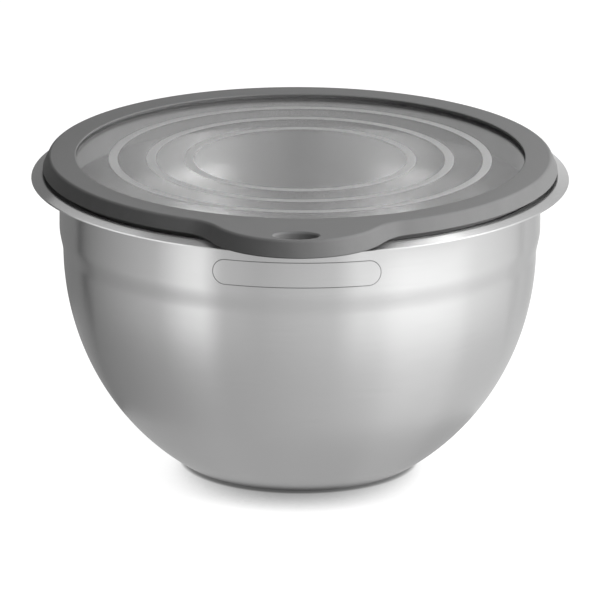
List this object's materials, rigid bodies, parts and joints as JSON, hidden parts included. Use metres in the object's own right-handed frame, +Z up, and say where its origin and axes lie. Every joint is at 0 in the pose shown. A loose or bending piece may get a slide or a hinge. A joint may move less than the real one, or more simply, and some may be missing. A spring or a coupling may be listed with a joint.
{
  "type": "mixing bowl with lid",
  "caption": "Deep round steel mixing bowl with a flat base and a wide flange, closed by a lift-off lid with a clear window, a soft sealing rim and a pull tab.",
  "frame": {"origin": "centre of the flat base, on the surface that the bowl stands on", "axes": "+Z up along the bowl's axis, -Y towards the lid's pull tab"},
  "size_m": [0.27, 0.2893, 0.1593],
  "materials": {
    "satin_steel": "satin stainless steel with a fine turned grain around the axis",
    "grey_silicone": "matte mid-grey silicone",
    "clear_plastic": "clear, slightly smoky plastic with a polished face and frosted raised rings"
  },
  "bodies": {
    "bowl": {"bowl": "satin_steel"},
    "lid": {"lid_rim": "grey_silicone", "lid_window": "clear_plastic"}
  },
  "joints": [
    {"name": "lid_lift", "type": "slide", "parent": "bowl", "child": "lid", "axis": [0, 0, 1], "range_m": [0, 0.25]}
  ]
}
